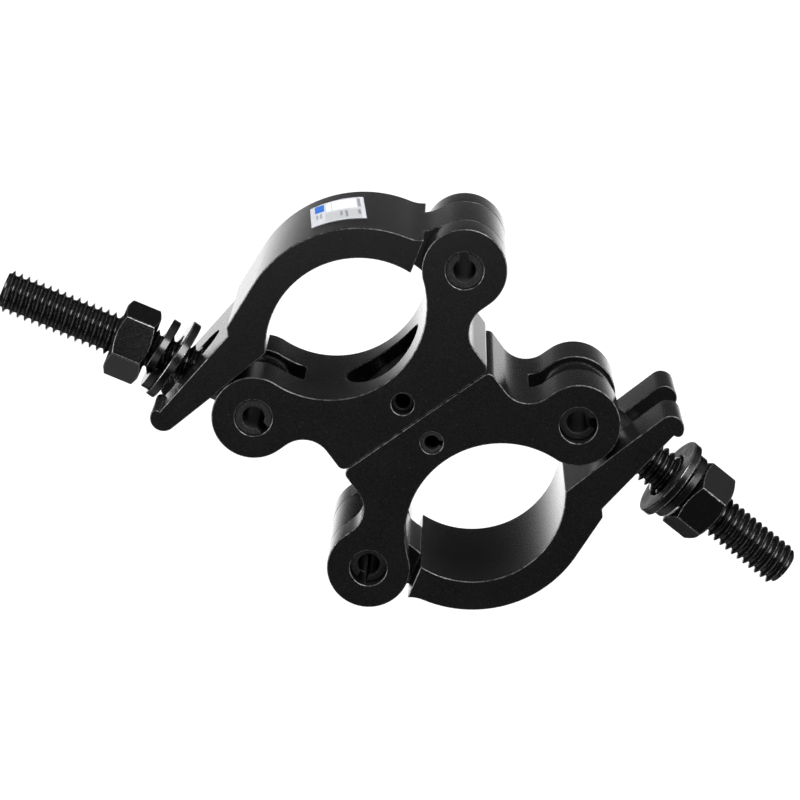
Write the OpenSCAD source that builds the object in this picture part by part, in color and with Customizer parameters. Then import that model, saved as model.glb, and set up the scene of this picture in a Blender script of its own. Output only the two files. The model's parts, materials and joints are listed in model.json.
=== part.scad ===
// Swivel pipe clamp: two hinged half clamps joined back to back by a swivel.
// Origin: centre of the upper half's saddle, half-way along the tube.
// +X runs along the base, +Y away from the swivel plane, +Z along the upper tube.

/* [Tube seat] */
// Radius of the curved seat in each base
seat_r = 26; // [25.7:0.1:26.2]
// Width of the clamp along the tube
clamp_w = 45; // [44:0.5:48]
// Height of the seat's centre above the swivel plane
seat_h = 39.5; // [39.3:0.1:40]

/* [Base] */
// Half the length of the swivel face
face_half = 24.4; // [23:0.2:25]
// Distance of each pivot from the middle of the base
pivot_x = 34.8; // [34.6:0.1:35]
// Height of both pivots above the swivel plane
pivot_h = 26.2; // [26:0.1:26.4]
// Radius of the rounded lugs around the pivots
lug_r = 11.3; // [11.2:0.05:11.35]
// Radius of the hollow between the swivel face and a lug
hollow_r = 7.8; // [7:0.1:8]
// Radius of the rounded ends of the swivel face
corner_r = 2; // [1:0.25:2.5]

/* [Arm] */
// Inside radius of the curved arm
arm_in_r = 25.05; // [24.8:0.05:25.1]
// Wall thickness of the curved arm
arm_wall = 8.25; // [8:0.05:8.5]
// Width of the hinge tongue
tongue_w = 22.4; // [20:0.2:24]
// Width of the fork slot that the eye bolt lies in
fork_slot_w = 13.4; // [13:0.1:14]
// How far the lower arm stands open at rest, in degrees
lower_rest_open = 0.75; // [0.5:0.05:1]

/* [Pins] */
// Outside diameter of the slotted hinge and pivot pins
pin_d = 10; // [9:0.5:10]
// Wall thickness of the hinge and pivot pins
pin_wall = 2; // [1:0.25:2.5]
// Length of the hinge and pivot pins
pin_len = 40; // [36:1:42]
// Outside diameter of the small lock pins
lock_d = 6; // [5:0.5:6]

/* [Eye bolt] */
// Diameter over the thread crests
bolt_d = 12.2; // [11:0.1:12.4]
// Length from the pivot to the bolt's end
bolt_len = 75.5; // [74:0.5:76]
// Width of the eye
eye_w = 11; // [9:0.5:12]
// Outside radius of the eye
eye_r = 10.5; // [9:0.5:10.8]
// Lean of the upper bolt at rest, in degrees
upper_lean = 31; // [30:0.5:32]
// Lean of the lower bolt at rest, in degrees
lower_lean = 14.9; // [14:0.1:16]

/* [Nut and washers] */
// Nut size across its flats
nut_af = 19; // [18:0.5:19]
// Thickness of the nut
nut_h = 10; // [8:0.5:10]
// Outside diameter of the flat washer
washer_d = 24; // [22:0.5:24]
// Thickness of the flat washer
washer_t = 2.5; // [2:0.1:2.6]
// Outside diameter of the spring washer
spring_d = 20.6; // [19:0.2:21]
// Thickness of the spring washer
spring_t = 3; // [2:0.25:3]

/* [Swivel] */
// Radius of the recess in each seat
recess_r = 12.2; // [11:0.1:12.2]
// Radius of the swivel bolt's shank
shank_r = 8; // [7:0.25:8.5]

/* [Label] */
// Length of the label round the arm, in degrees
label_arc = 26; // [20:1:30]
// Width of the label along the tube
label_w = 26; // [15:1:30]

/* [Hidden] */
$fn = 96;

pivot = [-pivot_x, pivot_h];
hinge = [pivot_x, pivot_h];
seat = [0, seat_h];
arm_centre = [-0.5, 24.9];
arm_out_r = arm_in_r + arm_wall;
shoulder = [[23, 34.1], [33, 40.5]];      // line of the shoulder, from inside to outside
tongue_r = lug_r - 0.02;    // knuckle of the arm between the lugs
neck_r = 9;                 // hollow between the curve's outside and the neck
neck_from = 31.4;           // where that hollow begins, in degrees round the arm
neck_slope = 76;            // slope of the neck after that hollow, in degrees from upright
neck_middle = arm_centre + (arm_out_r + neck_r) * [cos(neck_from), sin(neck_from)];
fork_from = 146.5;          // where the fork leaves the curve, in degrees round the arm
fork_under = [-40.8, 37.3]; // bend in the fork's underside
fork_seat = [[-26.8, 48.4], [-54.1, 42.25]];    // both ends of the washer seat
fork_slot_at = 6.4;         // distance along that seat to the end of the slot
gap = 0.05;                 // clearance each side of the swivel plane
pin_fit = 0.02;             // a pin in the base it is pressed into
turn_fit = 0.06;            // a part that turns on a pin
cut = 1;                    // how far a cutter runs past a surface
far = 80;                   // longer than any cutter needs to be
lug_slot_r = 14.3;          // reach of the slots milled round the pivots
bolt_slot_w = 13;           // slot for the bolt's eye
hinge_slot_w = 23;          // slot for the arm's tongue
pin_slot = 2.4;             // width of the slit in a hinge or pivot pin
lock_slot = 1.4;            // width of the slit in a lock pin
flush_z = clamp_w / 2 - 0.4;       // front end of an upper pin
sunk_z = clamp_w / 2 - 3.4;        // front end of a lower pin
upper_lock_h = 6;           // height of the lock pins above the swivel plane
lower_lock_h = 7.3;
upper_lock_z = [3.5, clamp_w / 2 - 3];    // inner and outer end of each lock pin
lower_lock_z = [9, clamp_w / 2 - 0.3];
recess_floor = 3;
nut_top = 10.5;             // top of the swivel nut
head_top = 11.6;            // top of the swivel bolt's head
head_r = recess_r - 0.1;
thread_r = 6;               // thread of the swivel bolt
cap = 2;                    // closed end of the swivel nut
nut_rim = 0.6;              // chamfer round the swivel nut's top

// Where the loose parts sit on each bolt, measured from the pivot
upper_washer_at = 24.1;
upper_spring_at = 27.5;
upper_nut_at = 32.5;
lower_washer_at = 33.2;
lower_spring_at = 35.9;
lower_nut_at = 39.7;
upper_washer_tilt = 12;     // the loose washers lean on the upper bolt
upper_spring_tilt = 8;

// ---------- Placing ----------

// Moves a half clamp, drawn on its swivel plane, to the upper position.
module upper_half() translate([0, -seat_h, 0]) children();

// The lower half is the upper one turned half a turn about the tube direction.
module lower_half() translate([0, -seat_h, 0]) rotate([0, 0, 180]) children();

// Turns the arm about its hinge by an opening angle.
module open_arm(angle) translate(hinge) rotate([0, 0, -angle]) translate(-hinge) children();

// Puts a part drawn along +Z on the bolt's axis.
module on_bolt(lean) translate(pivot) rotate([0, 0, lean]) rotate([-90, 0, 0]) children();

module slab(width) translate([0, 0, -width / 2]) linear_extrude(width) children();

// ---------- Base ----------

// One side hollow, on the pivot side, mirrored for the other.
module side_hollow() {
  middle = [-face_half - hollow_r, pivot_h - lug_r - hollow_r];
  translate(middle) circle(hollow_r);
  translate([-far, -cut]) square([far - face_half, middle[1] + cut]);
  translate([-far, -cut]) square([far + middle[0], middle[1] + hollow_r + cut]);
  difference() {
    translate([-face_half - cut, -cut]) square([corner_r + cut, corner_r + gap + cut]);
    translate([corner_r - face_half, corner_r + gap]) circle(corner_r);
  }
}

module base_outline() {
  lug_top = 30.2;           // where the seat's curve runs into the lug's
  difference() {
    union() {
      translate(pivot) circle(lug_r);
      translate(hinge) circle(lug_r);
      translate([-pivot_x, gap]) square([2 * pivot_x, lug_top - gap]);
    }
    translate(seat) circle(seat_r);
    side_hollow();
    mirror([1, 0]) side_hollow();
  }
}

module base(lock_h) {
  difference() {
    slab(clamp_w) base_outline();
    slab(bolt_slot_w) translate(pivot) circle(lug_slot_r);
    slab(hinge_slot_w) translate(hinge) circle(lug_slot_r);
    for (p = [pivot, hinge]) slab(clamp_w + 2 * cut) translate(p) circle(pin_d / 2 + pin_fit);
    translate([0, recess_floor, 0]) rotate([-90, 0, 0]) cylinder(r = recess_r, h = far);
    rotate([-90, 0, 0]) cylinder(r = shank_r + turn_fit, h = far);
    translate([0, lock_h, 0]) cylinder(d = lock_d + 2 * pin_fit, h = far);
  }
}

// ---------- Arm ----------

function on_arm(r, angle) = arm_centre + r * [cos(angle), sin(angle)];

// The neck between the curve and the knuckle, with a hollow where it leaves the curve.
module neck_outline() {
  front = 80;               // where the neck meets the knuckle, in degrees round the hinge
  back = 195;
  steps = 9;
  hollow = [for (i = [0 : steps])
    let (a = 180 + neck_from + (neck_slope - neck_from) * i / steps)
      neck_middle + neck_r * [cos(a), sin(a)]];
  polygon(concat(hollow, [
    hinge + tongue_r * [cos(front), sin(front)], hinge,
    hinge + tongue_r * [cos(back), sin(back)], shoulder[0]]));
}

// The curved part, from its shoulder at the hinge to the start of the fork.
module arm_curve() intersection() {
  difference() {
    union() {
      translate(arm_centre) circle(arm_out_r);
      neck_outline();
    }
    translate(arm_centre) circle(arm_in_r);
  }
  polygon([
    arm_centre, shoulder[0], shoulder[1], [far, far], [-far, far],
    fork_under, on_arm(arm_in_r, fork_from)]);
}

// The straight end: a sloping washer seat that ends in a rounded lip.
module fork_outline() {
  root = arm_in_r + 1.5;    // inside the wall, so that curve and fork join
  tangent = 114.5;          // where the outside turns straight, in degrees round the arm
  seat_end = fork_seat[1];
  tip = [-54.6, 40.1];
  tip_r = 3.6;
  lip = [-55.68, 42.02];
  lip_r = 1.45;
  toward = lip - tip;
  // Direction, from either centre, of the point where the line that touches both circles meets it.
  touch = atan2(toward[1], toward[0]) + acos((tip_r - lip_r) / norm(toward));
  outward = [cos(touch), sin(touch)];
  polygon([
    on_arm(arm_out_r, tangent), fork_seat[0] + [1.2, 2.1], fork_seat[0], seat_end,
    tip, tip - [0, tip_r], fork_under, on_arm(arm_in_r, fork_from),
    on_arm(root, fork_from - 6), on_arm(root, tangent)]);
  intersection() {
    translate(tip) circle(tip_r);
    polygon([seat_end, lip, lip + far * outward, [-far, -far], [far, -far], seat_end + [far, 0]]);
  }
  translate(lip) circle(lip_r);
  polygon([tip, tip + tip_r * outward, lip + lip_r * outward, lip, seat_end]);
}

module arm(open) open_arm(open) {
  seat_line = fork_seat[0] - fork_seat[1];
  difference() {
    union() {
      slab(clamp_w) { arm_curve(); fork_outline(); }
      slab(tongue_w) {
        difference() {
          neck_outline();
          translate(arm_centre) circle(arm_in_r);
        }
        translate(hinge) circle(tongue_r);
      }
    }
    slab(clamp_w + 2 * cut) translate(hinge) circle(pin_d / 2 + turn_fit);
    // The slot is milled square to the washer seat.
    translate(fork_seat[0]) rotate([0, 0, atan2(seat_line[1], seat_line[0])])
      translate([-fork_slot_at - fork_slot_w / 2, 0, 0]) {
        rotate([-90, 0, 0]) cylinder(d = fork_slot_w, h = 2 * far, center = true);
        translate([-far, -far, -fork_slot_w / 2]) cube([far, 2 * far, fork_slot_w]);
      }
  }
}

// ---------- Pins ----------

// A rolled pin with a slit along it, its front end at z, its slit turned to an angle.
module slotted_pin(at, z, d, wall, len, slit, angle) {
  translate([at[0], at[1], z - len]) rotate([0, 0, angle]) difference() {
    cylinder(d = d, h = len);
    translate([0, 0, -cut]) cylinder(d = d - 2 * wall, h = len + 2 * cut);
    translate([0, -slit / 2, -cut]) cube([d, slit, len + 2 * cut]);
  }
}

module steel_pin(at, z, angle) color("dimgray")
  slotted_pin(at, z, pin_d, pin_wall, pin_len, pin_slot, angle);

module lock_pin(lock_h, ends, angle) color("dimgray")
  slotted_pin([0, lock_h], ends[1], lock_d, lock_d / 6, ends[1] - ends[0], lock_slot, angle);

// ---------- Eye bolt, washers and nut ----------

module eye_bolt(lean) color("#1c1c1e") {
  end_chamfer = 1.2;
  difference() {
    union() {
      translate(pivot) slab(eye_w) circle(eye_r);
      on_bolt(lean) {
        cylinder(d = bolt_d, h = bolt_len - end_chamfer);
        translate([0, 0, bolt_len - end_chamfer])
          cylinder(d1 = bolt_d, d2 = bolt_d - 2 * end_chamfer, h = end_chamfer);
      }
    }
    translate(pivot) slab(clamp_w) circle(pin_d / 2 + turn_fit);
  }
}

// A ring on the bolt that starts at a distance from the pivot and leans by an angle.
module ring_on_bolt(lean, at, tilt, d, bore, t) {
  on_bolt(lean) translate([0, 0, at + t / 2]) rotate([0, tilt, 0]) difference() {
    cylinder(d = d, h = t, center = true);
    cylinder(d = bore, h = t + 2 * cut, center = true);
  }
}

module washer(lean, at, tilt) color("#242426")
  ring_on_bolt(lean, at, tilt, washer_d, bolt_d + 1.5, washer_t);

module spring_washer(lean, at, tilt) color("#1a1a1c") {
  bore = bolt_d + 1;
  split = 20;               // open part of the ring, in degrees
  on_bolt(lean) translate([0, 0, at + spring_t / 2]) rotate([0, tilt, 0]) rotate([0, 0, 90 + split / 2])
    rotate_extrude(angle = 360 - split)
      translate([bore / 2, -spring_t / 2]) square([(spring_d - bore) / 2, spring_t]);
}

module nut(lean, at, spin) color("#1c1c1e") {
  corner = nut_af / 2 / cos(30);
  chamfer = (corner - nut_af / 2) * tan(30);
  on_bolt(lean) translate([0, 0, at]) rotate([0, 0, spin]) difference() {
    intersection() {
      cylinder(r = corner, h = nut_h, $fn = 6);
      rotate_extrude() polygon([
        [0, 0], [nut_af / 2, 0], [corner, chamfer], [corner, nut_h - chamfer],
        [nut_af / 2, nut_h], [0, nut_h]]);
    }
    translate([0, 0, -cut]) cylinder(d = bolt_d + 2 * gap, h = nut_h + 2 * cut);
  }
}

// ---------- Swivel ----------

// Flanged bolt: its head turns in the lower base, its end is fixed in the upper base.
module swivel_bolt() color("#2a2a2c") upper_half() {
  groove = lock_d + 0.4;    // the lower lock pin's tip runs in this groove
  groove_r = 8.8;
  end_h = nut_top - cap - 0.5;
  difference() {
    rotate([-90, 0, 0]) rotate_extrude() polygon([
      [0, -head_top], [head_r, -head_top],
      [head_r, -lower_lock_h - groove / 2], [groove_r, -lower_lock_h - groove / 2],
      [groove_r, -lower_lock_h + groove / 2], [head_r, -lower_lock_h + groove / 2],
      [head_r, -recess_floor - gap], [shank_r, -recess_floor - gap],
      [shank_r, recess_floor], [thread_r, recess_floor], [thread_r, end_h], [0, end_h]]);
    translate([0, upper_lock_h, 0]) cylinder(d = lock_d + 2 * pin_fit, h = far);
  }
}

// Round cap nut in the upper base's recess.
module swivel_nut() color("#2a2a2c") upper_half() difference() {
  rotate([-90, 0, 0]) rotate_extrude() polygon([
    [0, recess_floor + gap], [head_r, recess_floor + gap], [head_r, nut_top - nut_rim],
    [head_r - nut_rim, nut_top], [0, nut_top]]);
  rotate([-90, 0, 0]) cylinder(r = thread_r + pin_fit, h = nut_top - cap);
  translate([0, upper_lock_h, 0]) cylinder(d = lock_d + 2 * pin_fit, h = far);
}

// ---------- Label ----------

module label() color("gainsboro") upper_half() {
  middle = 65.6;            // place of its middle round the arm, in degrees
  askew = 4;                // it is stuck on a little crooked, in degrees
  thick = 0.15;
  translate([arm_centre[0], arm_centre[1], -1]) rotate([0, 0, middle]) intersection() {
    rotate([0, 0, -label_arc]) rotate_extrude(angle = 2 * label_arc)
      translate([arm_out_r + pin_fit, -label_w]) square([thick, 2 * label_w]);
    translate([arm_out_r, 0, 0]) rotate([askew, 0, 0])
      cube([arm_out_r / 2, 2 * arm_out_r * sin(label_arc / 2), label_w], center = true);
  }
}

// ---------- Nodes ----------

module upper_base() color("#202022") upper_half() base(upper_lock_h);
module lower_base() color("#202022") lower_half() base(lower_lock_h);
module upper_arm() color("#202022") upper_half() arm(0);
module lower_arm() color("#202022") lower_half() arm(lower_rest_open);
module upper_hinge_pin() upper_half() steel_pin(hinge, flush_z, 56);
module upper_pivot_pin() upper_half() steel_pin(pivot, flush_z, -87);
module lower_hinge_pin() lower_half() steel_pin(hinge, sunk_z, 30);
module lower_pivot_pin() lower_half() steel_pin(pivot, sunk_z, 140);
module upper_eye_bolt() upper_half() eye_bolt(upper_lean);
module lower_eye_bolt() lower_half() eye_bolt(lower_lean);
module upper_washer() upper_half() washer(upper_lean, upper_washer_at, upper_washer_tilt);
module lower_washer() lower_half() washer(lower_lean, lower_washer_at, 0);
module upper_spring_washer() upper_half() spring_washer(upper_lean, upper_spring_at, upper_spring_tilt);
module lower_spring_washer() lower_half() spring_washer(lower_lean, lower_spring_at, 0);
module upper_nut() upper_half() nut(upper_lean, upper_nut_at, 20);
module lower_nut() lower_half() nut(lower_lean, lower_nut_at, 0);
module upper_lock_pin() upper_half() lock_pin(upper_lock_h, upper_lock_z, 90);
module lower_lock_pin() lower_half() lock_pin(lower_lock_h, lower_lock_z, 140);

upper_base();
upper_arm();
upper_hinge_pin();
upper_pivot_pin();
upper_eye_bolt();
upper_washer();
upper_spring_washer();
upper_nut();
upper_lock_pin();
lower_base();
lower_arm();
lower_hinge_pin();
lower_pivot_pin();
lower_eye_bolt();
lower_washer();
lower_spring_washer();
lower_nut();
lower_lock_pin();
swivel_bolt();
swivel_nut();
label();
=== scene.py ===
"""Looks of the swivel pipe clamp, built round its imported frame.

The castings, pins and swivel parts are the CAD shapes with their edges rounded. The eye bolts, nuts and
washers are turned or coiled afresh on the bolts' axes, with real threads. Sizes are in millimetres
and become metres when a mesh is made.
"""

import json
import math

import bmesh
import bpy
from mathutils import Matrix, Vector


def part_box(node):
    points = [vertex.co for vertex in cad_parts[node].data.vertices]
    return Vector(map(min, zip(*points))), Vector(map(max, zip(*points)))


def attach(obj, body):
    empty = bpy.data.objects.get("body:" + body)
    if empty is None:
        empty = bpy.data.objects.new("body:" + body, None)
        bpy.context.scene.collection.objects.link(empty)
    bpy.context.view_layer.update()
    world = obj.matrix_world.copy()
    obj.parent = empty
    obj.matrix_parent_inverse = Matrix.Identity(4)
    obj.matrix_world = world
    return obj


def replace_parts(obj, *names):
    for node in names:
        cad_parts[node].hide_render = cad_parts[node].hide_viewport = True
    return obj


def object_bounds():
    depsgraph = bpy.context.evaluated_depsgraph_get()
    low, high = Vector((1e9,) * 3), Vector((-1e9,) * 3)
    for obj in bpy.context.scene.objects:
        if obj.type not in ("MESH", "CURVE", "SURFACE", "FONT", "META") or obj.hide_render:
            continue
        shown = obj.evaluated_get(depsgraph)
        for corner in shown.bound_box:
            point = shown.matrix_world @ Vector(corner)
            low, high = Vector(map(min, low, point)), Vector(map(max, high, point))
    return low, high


MM = 0.001
HALVES = ("upper", "lower")

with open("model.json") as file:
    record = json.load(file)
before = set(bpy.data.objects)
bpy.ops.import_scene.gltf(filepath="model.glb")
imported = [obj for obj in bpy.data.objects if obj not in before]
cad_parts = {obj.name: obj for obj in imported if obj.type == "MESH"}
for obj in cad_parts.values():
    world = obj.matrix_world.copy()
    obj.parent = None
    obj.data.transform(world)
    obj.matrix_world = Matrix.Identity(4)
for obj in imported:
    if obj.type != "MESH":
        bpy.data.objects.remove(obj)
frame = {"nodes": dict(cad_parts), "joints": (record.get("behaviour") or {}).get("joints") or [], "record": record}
cad_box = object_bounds()
joints = {joint["name"]: joint for joint in frame["joints"]}


# ---------- Materials ----------


class Shader:
    """A Principled material whose inputs are driven by small node chains."""

    def __init__(self, name):
        self.material = bpy.data.materials.new(name)
        self.material.use_nodes = True
        self.tree = self.material.node_tree
        self.surface = self.tree.nodes["Principled BSDF"]
        self.place = self.tree.nodes.new("ShaderNodeTexCoord").outputs["Object"]

    def link(self, source, target):
        self.tree.links.new(source, target)

    def set(self, **values):
        for name, value in values.items():
            self.surface.inputs[name.replace("_", " ")].default_value = value

    def noise(self, size_mm, detail=2.0, rough=0.5):
        node = self.tree.nodes.new("ShaderNodeTexNoise")
        node.inputs["Scale"].default_value = 1 / (size_mm * MM)
        node.inputs["Detail"].default_value = detail
        node.inputs["Roughness"].default_value = rough
        self.link(self.place, node.inputs["Vector"])
        return node.outputs["Fac"]

    def ramp(self, value, low, high, at=(0.35, 0.65)):
        """Maps a value onto a range, or onto two colours."""
        if isinstance(low, tuple):
            node = self.tree.nodes.new("ShaderNodeValToRGB")
            for stop, colour, position in zip(node.color_ramp.elements, (low, high), at):
                stop.color = (*colour, 1)
                stop.position = position
            self.link(value, node.inputs["Fac"])
            return node.outputs["Color"]
        node = self.tree.nodes.new("ShaderNodeMapRange")
        for name, number in zip(("From Min", "From Max", "To Min", "To Max"), (*at, low, high)):
            node.inputs[name].default_value = number
        self.link(value, node.inputs["Value"])
        return node.outputs["Result"]

    def math(self, kind, a, b):
        node = self.tree.nodes.new("ShaderNodeMath")
        node.operation = kind
        for socket, value in zip(node.inputs, (a, b)):
            if isinstance(value, (int, float)):
                socket.default_value = value
            else:
                self.link(value, socket)
        return node.outputs["Value"]

    def mix(self, factor, a, b):
        node = self.tree.nodes.new("ShaderNodeMix")
        node.data_type = "RGBA"
        self.link(factor, node.inputs["Factor"])
        for name, value in (("A", a), ("B", b)):
            socket = next(s for s in node.inputs if s.name == name and s.type == "RGBA")
            if isinstance(value, tuple):
                socket.default_value = (*value, 1)
            else:
                self.link(value, socket)
        return next(s for s in node.outputs if s.type == "RGBA")

    def colour(self, value):
        self.link(value, self.surface.inputs["Base Color"])

    def roughness(self, value):
        self.link(value, self.surface.inputs["Roughness"])

    def bump(self, height, depth_mm, strength=1.0):
        node = self.tree.nodes.new("ShaderNodeBump")
        node.inputs["Distance"].default_value = depth_mm * MM
        node.inputs["Strength"].default_value = strength
        self.link(height, node.inputs["Height"])
        self.link(node.outputs["Normal"], self.surface.inputs["Normal"])


def anodised_aluminium():
    """Black anodised aluminium: a fine soft speckle, slow clouds and a few pale dust specks."""
    s = Shader("black_anodised_aluminium")
    s.set(Specular_IOR_Level=0.42)
    grain = s.noise(0.42, detail=2)
    cloud = s.noise(9, detail=3)
    tone = s.math("ADD", s.math("MULTIPLY", grain, 0.65), s.math("MULTIPLY", cloud, 0.35))
    base = s.ramp(tone, (0.0095, 0.0092, 0.0094), (0.0155, 0.015, 0.0152), at=(0.36, 0.66))
    specks = s.ramp(s.noise(0.6, detail=1), 0.0, 1.0, at=(0.72, 0.8))
    s.colour(s.mix(specks, base, (0.045, 0.044, 0.045)))
    s.roughness(s.ramp(grain, 0.2, 0.25))
    s.bump(s.noise(0.16, detail=2), 0.002, 0.5)
    return s.material


def burnished_rim():
    """Edges of the aluminium, where the black layer is polished thin and broken up."""
    s = Shader("burnished_rim")
    wear = s.noise(1.3, detail=4, rough=0.7)
    s.colour(s.ramp(wear, (0.05, 0.05, 0.051), (0.26, 0.26, 0.265), at=(0.36, 0.64)))
    s.set(Metallic=0.85)
    s.roughness(s.ramp(wear, 0.3, 0.42))
    return s.material


def black_oxide():
    """Oiled black oxide on steel: deep and glossy, with a few fine pale scuffs."""
    s = Shader("black_oxide_steel")
    s.set(IOR=1.6)
    grain = s.noise(0.5, detail=3)
    scuff = s.ramp(s.noise(1.1, detail=6, rough=0.75), 0.0, 1.0, at=(0.6, 0.76))
    s.colour(s.mix(scuff, (0.0065, 0.0064, 0.0066), (0.035, 0.0345, 0.035)))
    s.roughness(s.ramp(grain, 0.17, 0.24))
    s.bump(grain, 0.006, 0.4)
    return s.material


def worn_oxide():
    """Edges and thread crests of the black oxide parts, rubbed to bare steel in places."""
    s = Shader("worn_oxide_edge")
    wear = s.noise(0.8, detail=4, rough=0.7)
    s.colour(s.ramp(wear, (0.06, 0.06, 0.062), (0.42, 0.415, 0.41), at=(0.34, 0.66)))
    s.set(Metallic=0.85)
    s.roughness(s.ramp(wear, 0.16, 0.28))
    return s.material


def rubbed_oxide():
    """Face of the lower flat washer: black oxide, rubbed bright in patches with fine scratches."""
    s = Shader("rubbed_oxide_washer")
    patch = s.noise(7, detail=3, rough=0.65)
    rub = s.noise(1.2, detail=6, rough=0.75)
    shade = s.math("ADD", s.math("MULTIPLY", patch, 0.65), s.math("MULTIPLY", rub, 0.35))
    s.colour(s.ramp(shade, (0.012, 0.012, 0.0125), (0.34, 0.335, 0.33), at=(0.44, 0.58)))
    s.set(Metallic=0.6)
    s.roughness(s.ramp(rub, 0.26, 0.42))
    s.bump(rub, 0.01, 0.4)
    return s.material


def pin_steel():
    """Phosphated spring steel: dark grey with a coarse crystalline speckle."""
    s = Shader("phosphated_pin_steel")
    s.set(Specular_IOR_Level=0.3)
    crystal = s.noise(0.4, detail=4, rough=0.7)
    s.colour(s.ramp(crystal, (0.012, 0.012, 0.012), (0.07, 0.068, 0.066), at=(0.42, 0.75)))
    s.roughness(s.ramp(crystal, 0.42, 0.6))
    s.bump(crystal, 0.03, 0.5)
    return s.material


def swivel_steel():
    """Turned and blackened swivel bolt and nut, duller than the castings."""
    s = Shader("blackened_swivel_steel")
    s.set(Specular_IOR_Level=0.4)
    grain = s.noise(0.5, detail=3)
    s.colour(s.ramp(grain, (0.02, 0.02, 0.02), (0.05, 0.05, 0.05)))
    s.roughness(s.ramp(grain, 0.4, 0.5))
    s.bump(grain, 0.015, 0.4)
    return s.material


def label_film():
    """Pale satin film: a plain blue block, plain white fields and grey bars. It is stuck on askew."""
    lean, margin = 0.108, 0.054     # sideways lean over the film's width, and room that it takes
    s = Shader("label_film")
    node = s.tree.nodes.new("ShaderNodeTexCoord")
    split = s.tree.nodes.new("ShaderNodeSeparateXYZ")
    s.link(node.outputs["Generated"], split.inputs["Vector"])
    down = split.outputs["Z"]
    slant = s.math("MULTIPLY", s.math("SUBTRACT", down, 0.5), lean)
    straight = s.math("SUBTRACT", split.outputs["X"], slant)
    along = s.math("DIVIDE", s.math("SUBTRACT", straight, margin), 1 - 2 * margin)

    def block(low_u, high_u, low_v, high_v):
        parts = [s.math("GREATER_THAN", along, low_u), s.math("LESS_THAN", along, high_u),
                 s.math("GREATER_THAN", down, low_v), s.math("LESS_THAN", down, high_v)]
        inside = parts[0]
        for part in parts[1:]:
            inside = s.math("MULTIPLY", inside, part)
        return inside

    paper = s.ramp(s.noise(1.5), (0.6, 0.61, 0.66), (0.69, 0.7, 0.74))
    blocks = [((0.3, 0.94, 0.54, 0.94), (0.52, 0.53, 0.54)),    # wide grey field
              ((0.33, 0.42, 0.07, 0.47), (0.86, 0.88, 0.9)),    # narrow white field
              ((0.45, 0.88, 0.07, 0.47), (0.93, 0.94, 0.96)),   # wide white field
              ((0.9, 0.95, 0.07, 0.45), (0.3, 0.31, 0.31)),     # grey strip
              ((0.1, 0.29, 0.07, 0.41), (0.0, 0.15, 0.64))]     # blue block
    blocks += [((low, low + 0.045, 0.58, high), (0.26, 0.27, 0.28))
               for low, high in ((0.58, 0.78), (0.67, 0.86), (0.89, 0.78))]
    blocks += [((low, low + 0.04, 0.5, 0.72), (0.34, 0.35, 0.37)) for low in (0.12, 0.2)]
    for place, tint in blocks:
        paper = s.mix(block(*place), paper, tint)
    s.colour(paper)
    s.roughness(s.ramp(s.noise(0.8), 0.3, 0.4))
    s.bump(s.noise(3), 0.02, 0.3)
    return s.material


ALUMINIUM = anodised_aluminium()
RIM = burnished_rim()
OXIDE = black_oxide()
WORN = worn_oxide()
RUBBED = rubbed_oxide()
PIN = pin_steel()
SWIVEL = swivel_steel()
LABEL = label_film()


# ---------- Meshes ----------


def piece(name, bm, body, materials, smooth_angle=50):
    """Turns a bmesh in metres into a finished object that rides on a body."""
    bmesh.ops.recalc_face_normals(bm, faces=bm.faces)
    mesh = bpy.data.meshes.new(name)
    bm.to_mesh(mesh)
    bm.free()
    for material in materials:
        mesh.materials.append(material)
    mesh.shade_smooth()
    mesh.set_sharp_from_angle(angle=math.radians(smooth_angle))
    made = bpy.data.objects.new(name, mesh)
    bpy.context.scene.collection.objects.link(made)
    level = made.modifiers.new("level", "WEIGHTED_NORMAL")
    level.keep_sharp = True
    level.weight = 90
    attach(made, body)
    return made


def body_of(node):
    """The body in the frame's record that a CAD node belongs to."""
    return next(b for b, nodes in frame["record"]["behaviour"]["bodies"].items() if node in nodes)


def worked(node, name, width, materials, sharp=25, segments=2, clamp=False):
    """A CAD node with its corners rounded to a width. The rounded faces take the last material."""
    flat_within = 0.6       # neighbours closer in angle than this, in degrees, become one face
    bm = bmesh.new()
    bm.from_mesh(frame["nodes"][node].data)
    bmesh.ops.remove_doubles(bm, verts=bm.verts, dist=0.002 * MM)
    bmesh.ops.dissolve_limit(bm, angle_limit=math.radians(flat_within), verts=bm.verts, edges=bm.edges)
    limit = math.radians(sharp)
    edges = [e for e in bm.edges if len(e.link_faces) == 2 and e.calc_face_angle() > limit]
    for face in bm.faces:
        face.material_index = 0
    made = bmesh.ops.bevel(
        bm, geom=edges, offset=width * MM, offset_type="OFFSET", segments=segments, profile=0.5,
        affect="EDGES", clamp_overlap=clamp, miter_outer="SHARP")
    for face in made["faces"]:
        face.material_index = len(materials) - 1
    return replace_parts(piece(name, bm, body_of(node), materials), node)


def lathe(bm, points, steps=96, axis=Matrix.Identity(4)):
    """Revolves a closed outline of (radius, height) about an axis into a closed ring."""
    rows = []
    for i in range(steps):
        turn = 2 * math.pi * i / steps
        rows.append([bm.verts.new(axis @ (Vector((r * math.cos(turn), r * math.sin(turn), h)) * MM))
                     for r, h in points])
    for row, after in zip(rows, rows[1:] + rows[:1]):
        for k in range(len(points)):
            m = (k + 1) % len(points)
            bm.faces.new((row[k], after[k], after[m], row[m]))


def rounded(inner, outer, low, high, r, steps=3):
    """The outline of a ring's section with its four corners rounded to a radius."""
    corners = [(inner + r, low + r, 180), (outer - r, low + r, 270),
               (outer - r, high - r, 0), (inner + r, high - r, 90)]
    turns = [90 * k / steps for k in range(steps + 1)]
    return [(x + r * math.cos(math.radians(start + t)), y + r * math.sin(math.radians(start + t)))
            for x, y, start in corners for t in turns]


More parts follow.
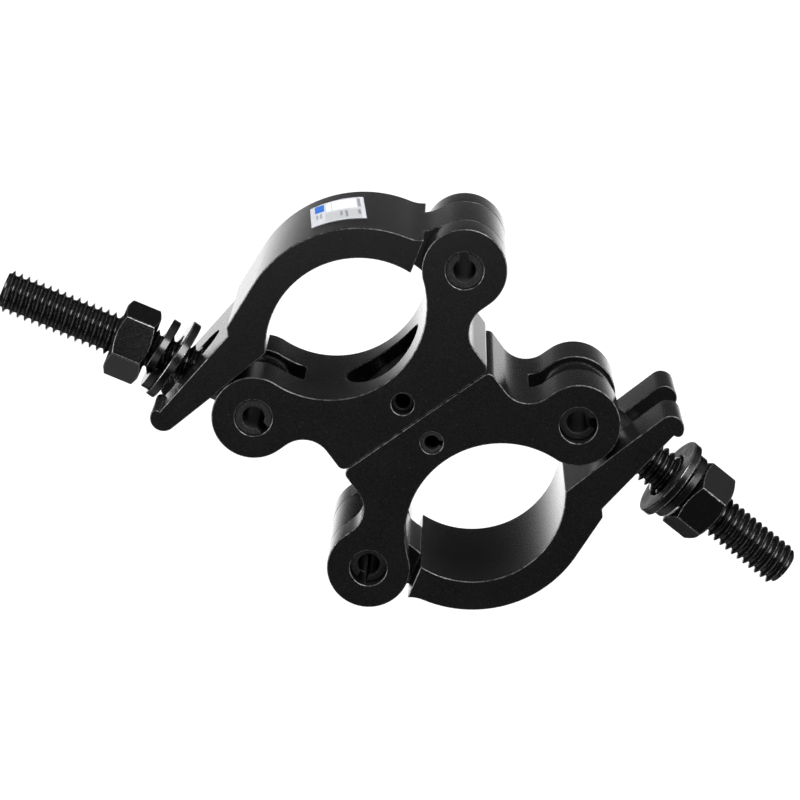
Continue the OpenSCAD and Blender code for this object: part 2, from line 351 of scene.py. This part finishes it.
def bolt_axis(half):
    """The bolt's own frame: Z runs outward from the pivot, Y along the tube."""
    outward = Vector(joints[half + "_washer_slide"]["axis"]).normalized()
    across = Vector((0, 0, 1))
    side = across.cross(outward)
    turn = Matrix((side, across, outward)).transposed().to_4x4()
    return Matrix.Translation(joints[half + "_bolt_swing"]["pos_m"]) @ turn


CREST_R = 6.1           # radius over the thread's crests
THREAD_DEPTH = 1.32
PITCH = 25.4 / 12       # twelve turns to the inch
BOLT_LENGTH = 75.5      # from the pivot to the bolt's end


def thread_height(turns):
    """Height of the thread from 0 at its rounded root to 1 at its crest, as it climbs one pitch."""
    ridge = abs(2 * (turns % 1) - 1)
    root, crest = 0.16, 0.93
    share = min(1, max(0, (ridge - root) / (crest - root)))
    return share * share * (1.6 - 0.6 * share) if share < 0.5 else 0.8 * share + 0.2 * share ** 3


def threaded_shank(bm, axis, start, thread_start, end, around=72, rows=12):
    """A right-hand thread on a plain shank, as one strip that climbs a pitch at every turn."""
    run_out, chamfer = 3.0, 1.3

    def radius(z, turns):
        cut = THREAD_DEPTH * min(1, max(0, (z - thread_start) / run_out))
        r = CREST_R - cut * (1 - thread_height(turns))
        return min(r, CREST_R - max(0, z - (end - chamfer)))

    count = rows * (math.ceil((end - start) / PITCH) + 1)
    grid = []
    for i in range(count + rows + 1):
        ring = []
        for j in range(around):
            z = min(end, max(start, start + PITCH * (i / rows + j / around - 1)))
            r = radius(z, (z - start) / PITCH - j / around)
            turn = 2 * math.pi * j / around
            ring.append(bm.verts.new(axis @ (Vector((r * math.cos(turn), r * math.sin(turn), z)) * MM)))
        grid.append(ring)
    for i in range(count):
        for j in range(around):
            if j < around - 1:
                corners = (grid[i][j], grid[i][j + 1], grid[i + 1][j + 1], grid[i + 1][j])
            else:
                corners = (grid[i][j], grid[i + rows][0], grid[i + rows + 1][0], grid[i + 1][j])
            bm.faces.new(corners)
    bmesh.ops.remove_doubles(bm, verts=bm.verts, dist=0.001 * MM)
    loose = [v for v in bm.verts if not v.link_faces]
    bmesh.ops.delete(bm, geom=loose, context="VERTS")
    bmesh.ops.holes_fill(bm, edges=[e for e in bm.edges if e.is_boundary])


def temporary(name, bm):
    """Turns a bmesh into a bare object."""
    bmesh.ops.recalc_face_normals(bm, faces=bm.faces)
    mesh = bpy.data.meshes.new(name)
    bm.to_mesh(mesh)
    bm.free()
    made = bpy.data.objects.new(name, mesh)
    bpy.context.scene.collection.objects.link(made)
    return made


def joined(solid, *others):
    """The true union of solids, as one bmesh. The source objects are removed."""
    for other in others:
        modifier = solid.modifiers.new("join", "BOOLEAN")
        modifier.operation = "UNION"
        modifier.solver = "EXACT"
        modifier.object = other
    bpy.context.view_layer.update()
    evaluated = solid.evaluated_get(bpy.context.evaluated_depsgraph_get())
    bm = bmesh.new()
    bm.from_mesh(evaluated.to_mesh())
    for used in (solid, *others):
        bpy.data.objects.remove(used)
    return bm


def eye_bolt(half):
    """Swing bolt: a rounded eye on the pivot pin and a threaded shank."""
    eye_r, eye_half, bore_r, corner = 10.5, 5.5, 5.06, 1.2
    shank_from, thread_from = 7.5, 17       # distances from the pivot
    axis = bolt_axis(half)
    pivot = Matrix.Translation(axis.translation)
    eye = bmesh.new()
    lathe(eye, rounded(bore_r, eye_r, -eye_half, eye_half, corner), axis=pivot)
    shank = bmesh.new()
    threaded_shank(shank, axis, start=shank_from, thread_start=thread_from, end=BOLT_LENGTH)
    bm = joined(temporary("eye", eye), temporary("shank", shank))
    inverse = axis.inverted()
    for face in bm.faces:
        spot = inverse @ face.calc_center_median() / MM
        crest = math.hypot(spot.x, spot.y) > CREST_R - 0.2 and spot.z > thread_from - 1
        face.material_index = 1 if crest else 0
    name = half + "_eye_bolt"
    made = piece(name + "_threaded", bm, name, (OXIDE, WORN))
    made.modifiers.clear()
    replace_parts(made, name)


def middle_on_bolt(half, node):
    """Distance of a ring's middle from the pivot along the bolt, in metres, from the frame."""
    low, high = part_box(node)
    return (bolt_axis(half).inverted() @ ((low + high) / 2)).z


def hex_nut(half, spin):
    """Chamfered hexagon nut with rounded corners. Its worn edges are narrow strips of their own."""
    flat_r, height, bore_r, corner, worn = 9.5, 10, 6.15, 0.6, 0.15
    face_r, slope = flat_r - 0.35, math.tan(math.radians(30))
    reach = (flat_r - corner) / math.cos(math.radians(30))
    turn_in = math.degrees(math.atan2((flat_r - corner) * math.tan(math.radians(30)), flat_r))
    flats = [30 + turn_in * (k / 4 - 1) for k in range(9)]
    corners = [30 + turn_in + (60 - 2 * turn_in) * k / 6 for k in range(1, 6)]

    def side_r(turn):
        from_flat = (turn % 60) - 30
        if abs(from_flat) <= turn_in + 0.001:
            return flat_r / math.cos(math.radians(from_flat))
        from_corner = math.radians(30 - abs(from_flat))
        return reach * math.cos(from_corner) + math.sqrt(
            corner ** 2 - (reach * math.sin(from_corner)) ** 2)

    def outline(r):
        edge = (r - face_r) * slope
        half_way = [(bore_r, 0.7), (bore_r + 0.7, 0), (face_r - worn, 0),
                    (face_r + worn / 2, worn / 2 * slope), (r - worn, edge - worn * slope), (r, edge + worn)]
        return half_way + [(x, height - z) for x, z in reversed(half_way)]

    name = half + "_nut"
    start = middle_on_bolt(half, name) - height / 2 * MM
    place = bolt_axis(half) @ Matrix.Translation((0, 0, start)) @ Matrix.Rotation(
        math.radians(spin), 4, "Z")
    bm = bmesh.new()
    rows = []
    for sextant in range(6):
        for turn in flats + corners:
            turn += 60 * sextant
            around = math.radians(turn)
            rows.append([bm.verts.new(place @ (Vector((r * math.cos(around), r * math.sin(around), z)) * MM))
                         for r, z in outline(side_r(turn))])
    worn_strips = (2, 4, 6, 8)
    for i, (row, after) in enumerate(zip(rows, rows[1:] + rows[:1])):
        on_corner = i % len(flats + corners) >= len(flats) - 1
        for k in range(len(row)):
            m = (k + 1) % len(row)
            face = bm.faces.new((row[k], after[k], after[m], row[m]))
            face.material_index = 1 if k in worn_strips or (on_corner and k == 5) else 0
    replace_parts(piece(half + "_hex_nut", bm, name, (OXIDE, WORN)), name)


def flat_washer(half, tilt, face):
    """Stamped washer with rounded rims. Its two faces take a finish of their own."""
    inner_r, outer_r, thick, corner, steps = 6.85, 12, 2.5, 0.4, 3
    name = half + "_washer"
    place = bolt_axis(half) @ Matrix.Translation((0, 0, middle_on_bolt(half, name))) @ Matrix.Rotation(
        math.radians(-tilt), 4, "Y")
    section = rounded(inner_r, outer_r, -thick / 2, thick / 2, corner, steps)
    bm = bmesh.new()
    lathe(bm, section, axis=place)
    low_face, rim, high_face, bore = (steps + (steps + 1) * side for side in range(4))
    for i, polygon in enumerate(bm.faces):
        k = i % len(section)
        polygon.material_index = 1 if k in (low_face, high_face) else 0 if k in (rim, bore) else 2
    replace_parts(piece(half + "_flat_washer", bm, name, (OXIDE, face, WORN)), name)


def spring_washer(half, at, tilt, rise, split):
    """Coiled split ring. It climbs against the thread, from one cut end to the other."""
    inner, outer, thick, corner = 6.6, 10.3, 2.4, 0.35
    gap, steps = 9, 120         # width of the split, in degrees, and sections round the coil
    section = rounded(inner, outer, -thick / 2, thick / 2, corner)
    place = bolt_axis(half) @ Matrix.Translation((0, 0, at * MM)) @ Matrix.Rotation(
        math.radians(-tilt), 4, "Y")
    bm = bmesh.new()
    rows = []
    for i in range(steps + 1):
        share = i / steps
        turn = math.radians(split - gap / 2 - (360 - gap) * share)
        lift = rise * (share - 0.5)
        rows.append([bm.verts.new(place @ (Vector((r * math.cos(turn), r * math.sin(turn), h + lift)) * MM))
                     for r, h in section])
    for row, after in zip(rows, rows[1:]):
        for k in range(len(section)):
            m = (k + 1) % len(section)
            bm.faces.new((row[k], row[m], after[m], after[k]))
    bm.faces.new(rows[0])
    bm.faces.new(reversed(rows[-1]))
    name = half + "_spring_washer"
    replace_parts(piece(name + "_coil", bm, name, (OXIDE,)), name)


# ---------- The clamp ----------

for half in HALVES:
    worked(half + "_base", half + "_base_casting", 0.3, (ALUMINIUM, RIM))
    worked(half + "_arm", half + "_arm_casting", 0.3, (ALUMINIUM, RIM))
    for pin in ("hinge", "pivot"):
        worked(f"{half}_{pin}_pin", f"{half}_{pin}_roll_pin", 0.35, (PIN,), clamp=True)
    worked(half + "_lock_pin", half + "_lock_roll_pin", 0.2, (PIN,), clamp=True)
    eye_bolt(half)

flat_washer("upper", tilt=12, face=OXIDE)
flat_washer("lower", tilt=0, face=RUBBED)
hex_nut("upper", spin=20)
hex_nut("lower", spin=0)
spring_washer("upper", at=29.2, tilt=8, rise=2.2, split=75)
spring_washer("lower", at=37.7, tilt=0, rise=1.2, split=250)
for node in ("swivel_bolt", "swivel_nut"):
    worked(node, node + "_turned", 0.2, (SWIVEL,))
frame["nodes"]["label"].data.materials.clear()
frame["nodes"]["label"].data.materials.append(LABEL)


# ---------- Studio ----------

FLOOR_Z = min(cad_box[0].x, -cad_box[1].x)      # below the reach of the lower half as it swivels
CAMERA_AT = Vector((143.4, 138.26, 781.32)) * MM
CAMERA_AIM = Vector((-4.1, -37.16, 0)) * MM
CAMERA_UP_HEADING = 54.09      # heading of the picture's upward direction over the floor, in degrees
LENS = 133.16                  # focal length, for a sensor 36 mm wide


def heading(degrees):
    """A level direction, turned from the X axis by an angle."""
    return Vector((math.cos(math.radians(degrees)), math.sin(math.radians(degrees)), 0))


def facing(source, target, up):
    """The rotation of a camera or lamp at source that looks at target."""
    back = (source - target).normalized()
    right = up.cross(back).normalized()
    return Matrix((right, back.cross(right), back)).transposed().to_4x4()


def camera():
    """The photograph's viewpoint."""
    data = bpy.data.cameras.new("camera")
    data.lens = LENS
    data.clip_start, data.clip_end = 0.02, 50
    made = bpy.data.objects.new("camera", data)
    made.matrix_world = Matrix.Translation(CAMERA_AT) @ facing(
        CAMERA_AT, CAMERA_AIM, heading(CAMERA_UP_HEADING))
    bpy.context.scene.collection.objects.link(made)
    bpy.context.scene.camera = made


def softbox(name, direction, elevation, distance, size, strength, lights="both"):
    """A square lamp at a heading round the object. It can light only sheens or only matt colour."""
    data = bpy.data.lights.new(name, "AREA")
    data.shape = "SQUARE"
    data.size = size
    data.energy = strength
    made = bpy.data.objects.new(name, data)
    made.visible_diffuse = lights != "sheen"
    made.visible_glossy = lights != "colour"
    rise = math.radians(elevation)
    source = CAMERA_AIM + (heading(direction) * math.cos(rise) + Vector((0, 0, math.sin(rise)))) * distance
    made.matrix_world = Matrix.Translation(source) @ facing(source, CAMERA_AIM, Vector((0, 0.01, 1)))
    bpy.context.scene.collection.objects.link(made)


def floor():
    """Pale floor: nearly white on its own, with a faint soft shadow under the object."""
    half = 4
    bm = bmesh.new()
    bm.faces.new([bm.verts.new((x * half, y * half, FLOOR_Z))
                  for x, y in ((-1, -1), (1, -1), (1, 1), (-1, 1))])
    made = temporary("floor", bm)
    s = Shader("pale_floor")
    s.set(Base_Color=(0.3, 0.3, 0.3, 1), Roughness=1.0, Specular_IOR_Level=0.0,
          Emission_Color=(1, 1, 1, 1), Emission_Strength=0.99)
    made.data.materials.append(s.material)
    made.visible_glossy = False


def surroundings():
    """White for the camera. In reflections: a dim room, a pale band at the horizon, a bright backdrop."""
    world = bpy.data.worlds.new("studio")
    bpy.context.scene.world = world
    world.use_nodes = True
    tree = world.node_tree
    tree.nodes.clear()
    new, link = tree.nodes.new, tree.links.new
    direction = new("ShaderNodeTexCoord").outputs["Generated"]

    def glow(value, dark_at, bright_at, dark, bright):
        node = new("ShaderNodeMapRange")
        node.interpolation_type = "SMOOTHSTEP"
        for name, number in zip(("From Min", "From Max", "To Min", "To Max"),
                                (dark_at, bright_at, dark, bright)):
            node.inputs[name].default_value = number
        link(value, node.inputs["Value"])
        return node.outputs["Result"]

    def combined(kind, *sockets):
        node = new("ShaderNodeMath")
        node.operation = kind
        for socket, value in zip(node.inputs, sockets):
            link(value, socket)
        return node.outputs["Value"]

    behind = new("ShaderNodeVectorMath")
    behind.operation = "DOT_PRODUCT"
    link(direction, behind.inputs[0])
    behind.inputs[1].default_value = (CAMERA_AIM - CAMERA_AT).normalized()
    edge, core = (math.cos(math.radians(angle)) for angle in (26, 8))
    backdrop = glow(behind.outputs["Value"], edge, core, 0.012, 2.4)
    split = new("ShaderNodeSeparateXYZ")
    link(direction, split.inputs["Vector"])
    band = glow(combined("ABSOLUTE", split.outputs["Z"]), 0.75, 0.15, 0.0, 0.3)
    sky, white = new("ShaderNodeBackground"), new("ShaderNodeBackground")
    link(combined("ADD", backdrop, band), sky.inputs["Strength"])
    for shade in (sky, white):
        shade.inputs["Color"].default_value = (1, 1, 1, 1)
    choose = new("ShaderNodeMixShader")
    link(new("ShaderNodeLightPath").outputs["Is Camera Ray"], choose.inputs["Fac"])
    link(sky.outputs["Background"], choose.inputs[1])
    link(white.outputs["Background"], choose.inputs[2])
    link(choose.outputs["Shader"], new("ShaderNodeOutputWorld").inputs["Surface"])


camera()
floor()
surroundings()
for side, turn, strength in (("left", 80, 4.5), ("right", -80, 2.5)):
    softbox(side + "_softbox", CAMERA_UP_HEADING + turn, 25, 0.8, 0.6, strength, "sheen")
softbox("back_softbox", CAMERA_UP_HEADING, 16, 0.8, 0.6, 6.0, "colour")
softbox("key", CAMERA_UP_HEADING - 35, 42, 0.9, 0.45, 6.0, "sheen")
softbox("overhead", CAMERA_UP_HEADING + 90, 86, 1.0, 0.35, 0.3, "sheen")
softbox("fill", CAMERA_UP_HEADING + 180, 50, 1.0, 0.8, 4.0, "colour")
bpy.context.scene.view_settings.view_transform = "Standard"
